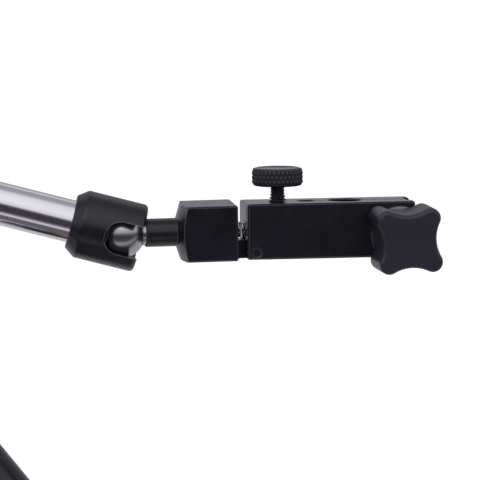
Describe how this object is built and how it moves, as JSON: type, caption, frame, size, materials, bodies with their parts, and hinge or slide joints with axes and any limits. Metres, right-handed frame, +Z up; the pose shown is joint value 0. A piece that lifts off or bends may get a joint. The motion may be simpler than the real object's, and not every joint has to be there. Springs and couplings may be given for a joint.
{
  "type": "articulated tool holder stand",
  "caption": "Bench stand with a switchable magnetic base, two tubular arms on ball joints with a central lock, and a fine-adjust clamp head for round shafts.",
  "frame": {"origin": "middle of the magnetic base's flat foot, on the surface it stands on", "axes": "+Z up from the foot; +X from the elbow towards the clamp head; -Y is the front, the way the knobs and the switch dial face"},
  "size_m": [0.1879, 0.0577, 0.1493],
  "materials": {
    "black_steel": "satin black oxide on ground steel",
    "polished_steel": "polished",
    "base_enamel": "satin enamel",
    "brass": "machined",
    "black_plastic": "fine matt grain",
    "zinc_steel": "zinc plated",
    "dial_plastic": "gloss red",
    "white_mark": "inlaid white",
    "ferrite": "ground magnet"
  },
  "bodies": {
    "base": {"base_pole_left": "base_enamel", "base_pole_right": "base_enamel", "base_divider_top": "brass", "base_divider_bottom": "brass", "dial_plate": "zinc_steel", "rear_plate": "zinc_steel", "dial_screw_left_low": "zinc_steel", "dial_screw_left_high": "zinc_steel", "dial_screw_right_low": "zinc_steel", "dial_screw_right_high": "zinc_steel", "rear_screw_left_low": "zinc_steel", "rear_screw_left_high": "zinc_steel", "rear_screw_right_low": "zinc_steel", "rear_screw_right_high": "zinc_steel", "stud_bush": "black_steel"},
    "switch": {"magnet_rotor": "ferrite", "switch_dial": "dial_plastic", "dial_pointer": "white_mark"},
    "lower_stud": {"lower_ball_stud": "polished_steel"},
    "lower_arm": {"lower_socket_cap": "black_steel", "lower_tube": "polished_steel", "lower_seat_ring": "black_steel", "lower_elbow_hub": "black_steel", "elbow_washer_rear": "zinc_steel"},
    "lower_lock_rod": {"lower_push_rod": "zinc_steel", "lower_seat_pad": "brass"},
    "lock_sleeve": {"lock_sleeve": "brass"},
    "elbow_knob": {"elbow_knob": "black_plastic", "elbow_knob_insert": "brass", "elbow_bolt": "black_steel"},
    "upper_arm": {"upper_socket_cap": "black_steel", "upper_tube": "polished_steel", "upper_elbow_hub": "black_steel", "elbow_washer_front": "zinc_steel"},
    "upper_lock_rod": {"upper_push_rod": "zinc_steel", "upper_seat_pad": "brass"},
    "upper_ring": {"upper_seat_ring": "black_steel"},
    "upper_stud": {"upper_ball_stud": "polished_steel"},
    "head_block": {"fine_block": "black_steel", "gap_spring": "polished_steel"},
    "clamp": {"clamp_body": "black_steel", "pivot_pin": "black_steel"},
    "adjust_tip": {"adjust_tip_pad": "brass"},
    "adjust_screw": {"adjust_screw_head": "black_steel", "adjust_screw_shank": "black_steel"},
    "clamp_washer": {"clamp_washer": "polished_steel"},
    "clamp_knob": {"clamp_star_knob": "black_plastic", "clamp_knob_insert": "brass", "clamp_bolt": "black_steel"}
  },
  "joints": [
    {"name": "magnet_switch", "type": "hinge", "parent": "base", "child": "switch", "pos_m": [0, 0, 0.017], "axis": [0, -1, 0], "range_deg": [0, 90]},
    {"name": "base_swivel", "type": "hinge", "parent": "base", "child": "lower_stud", "pos_m": [0, 0, 0.049], "axis": [0, 0, 1], "continuous": true},
    {"name": "lower_lean", "type": "hinge", "parent": "lower_stud", "child": "lower_arm", "pos_m": [0, 0, 0.049], "axis": [0, -1, 0], "range_deg": [-39, 50]},
    {"name": "lower_rod_slide", "type": "slide", "parent": "lower_arm", "child": "lower_lock_rod", "axis": [0.632, 0, -0.7749], "range_m": [-0.00032, 0]},
    {"name": "sleeve_slide", "type": "slide", "parent": "lower_arm", "child": "lock_sleeve", "axis": [0, -1, 0], "range_m": [-0.00102, 0]},
    {"name": "elbow_knob_turn", "type": "hinge", "parent": "lower_arm", "child": "elbow_knob", "pos_m": [-0.07079, 0, 0.13579], "axis": [0, -1, 0], "range_deg": [0, 360]},
    {"name": "elbow_fold", "type": "hinge", "parent": "lower_arm", "child": "upper_arm", "pos_m": [-0.07079, -0.012, 0.13579], "axis": [0, -1, 0], "range_deg": [-5, 140]},
    {"name": "upper_rod_slide", "type": "slide", "parent": "upper_arm", "child": "upper_lock_rod", "axis": [0.9694, 0, -0.2453], "range_m": [-0.00032, 0]},
    {"name": "upper_ball_swing", "type": "hinge", "parent": "upper_arm", "child": "upper_ring", "pos_m": [0.02936, -0.012, 0.11045], "axis": [0.9694, 0, -0.2453], "continuous": true},
    {"name": "upper_ball_lean", "type": "hinge", "parent": "upper_ring", "child": "upper_stud", "pos_m": [0.02936, -0.012, 0.11045], "axis": [0.0972, -0.9182, 0.3841], "range_deg": [-44, 11.5]},
    {"name": "head_roll", "type": "hinge", "parent": "upper_stud", "child": "head_block", "pos_m": [0.02936, -0.012, 0.11045], "axis": [0.9934, 0.1132, 0.0192], "range_deg": [-90, 90]},
    {"name": "fine_tilt", "type": "hinge", "parent": "head_block", "child": "clamp", "pos_m": [0.06023, -0.00843, 0.10615], "axis": [0.1134, -0.9935, -0.0105], "range_deg": [-2.5, 2.5], "deforming": ["gap_spring"]},
    {"name": "adjust_travel", "type": "slide", "parent": "clamp", "child": "adjust_tip", "axis": [-0.0075, -0.0114, 0.9999], "range_m": [-0.0003, 0.0003]},
    {"name": "adjust_turn", "type": "hinge", "parent": "adjust_tip", "child": "adjust_screw", "pos_m": [0.06601, -0.00782, 0.1111], "axis": [-0.0075, -0.0114, 0.9999], "range_deg": [-135, 135]},
    {"name": "clamp_knob_travel", "type": "slide", "parent": "clamp", "child": "clamp_washer", "axis": [0.1134, -0.9935, -0.0105], "range_m": [0, 0.0007]},
    {"name": "clamp_knob_turn", "type": "hinge", "parent": "clamp_washer", "child": "clamp_knob", "pos_m": [0.09355, -0.00467, 0.10984], "axis": [0.1134, -0.9935, -0.0105], "range_deg": [0, 361]}
  ],
  "couplings": [
    {"joint": "sleeve_slide", "follows": "elbow_knob_turn", "m_per_rad": -0.00015915},
    {"joint": "lower_rod_slide", "follows": "elbow_knob_turn", "m_per_rad": -0.000047747},
    {"joint": "upper_rod_slide", "follows": "elbow_knob_turn", "m_per_rad": -0.000047747},
    {"joint": "adjust_travel", "follows": "fine_tilt", "m_per_rad": -0.00586},
    {"joint": "adjust_turn", "follows": "fine_tilt", "ratio": -52.599},
    {"joint": "clamp_knob_turn", "follows": "clamp_knob_travel", "rad_per_m": 8976}
  ]
}
